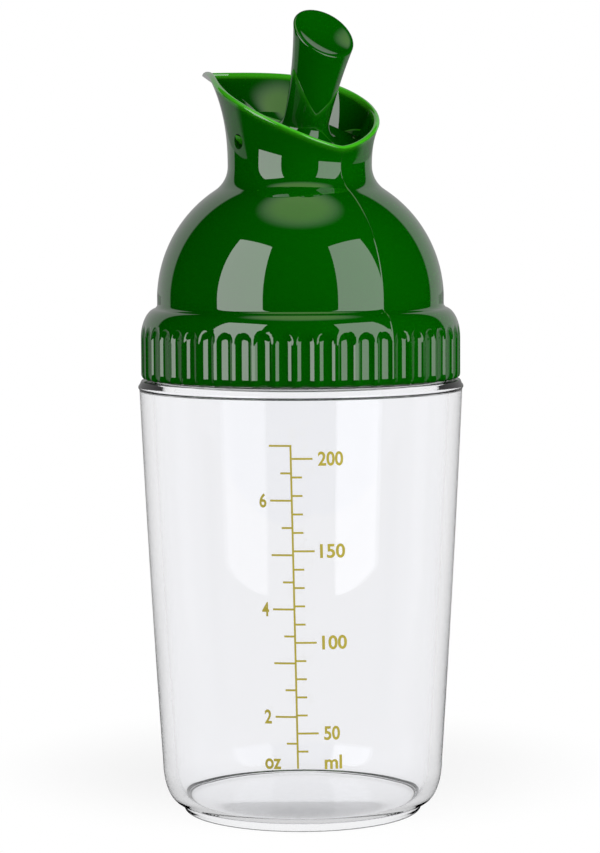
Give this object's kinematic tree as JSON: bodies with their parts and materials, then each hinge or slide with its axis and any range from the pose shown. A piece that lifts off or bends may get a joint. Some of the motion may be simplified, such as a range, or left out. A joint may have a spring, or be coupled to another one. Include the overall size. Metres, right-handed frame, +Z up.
{
  "type": "salad dressing shaker",
  "caption": "Clear jar with a printed volume scale and a screw lid: fluted skirt, round dome, pouring collar with a beak, and a thumb lever that tilts a disc valve.",
  "frame": {"origin": "centre of the jar's flat foot, on the jar's axis", "axes": "+Z up along the jar's axis, +X towards the pouring spout, +Y along the lever's pivot"},
  "size_m": [0.0733, 0.0694, 0.1708],
  "materials": {
    "clear_plastic": "clear moulded plastic, polished",
    "scale_ink": "gold printed ink",
    "green_plastic": "deep green moulded plastic, high gloss",
    "soft_seal": "translucent white silicone"
  },
  "bodies": {
    "jar": {"jar": "clear_plastic", "volume_scale": "scale_ink"},
    "gasket": {"lid_gasket": "soft_seal"},
    "lid": {"lid": "green_plastic"},
    "lever": {"lever": "green_plastic", "valve_seal": "soft_seal"}
  },
  "joints": [
    {"name": "lid_rise", "type": "slide", "parent": "jar", "child": "gasket", "axis": [0, 0, 1], "range_m": [0, 0.006]},
    {"name": "lid_turn", "type": "hinge", "parent": "gasket", "child": "lid", "pos_m": [0, 0, 0.0929], "axis": [0, 0, 1], "range_deg": [0, 270]},
    {"name": "lever_tilt", "type": "hinge", "parent": "lid", "child": "lever", "pos_m": [0, 0, 0.1429], "axis": [0, -1, 0], "range_deg": [0, 46]}
  ],
  "couplings": [
    {"joint": "lid_rise", "follows": "lid_turn", "m_per_rad": 0.0012732}
  ]
}
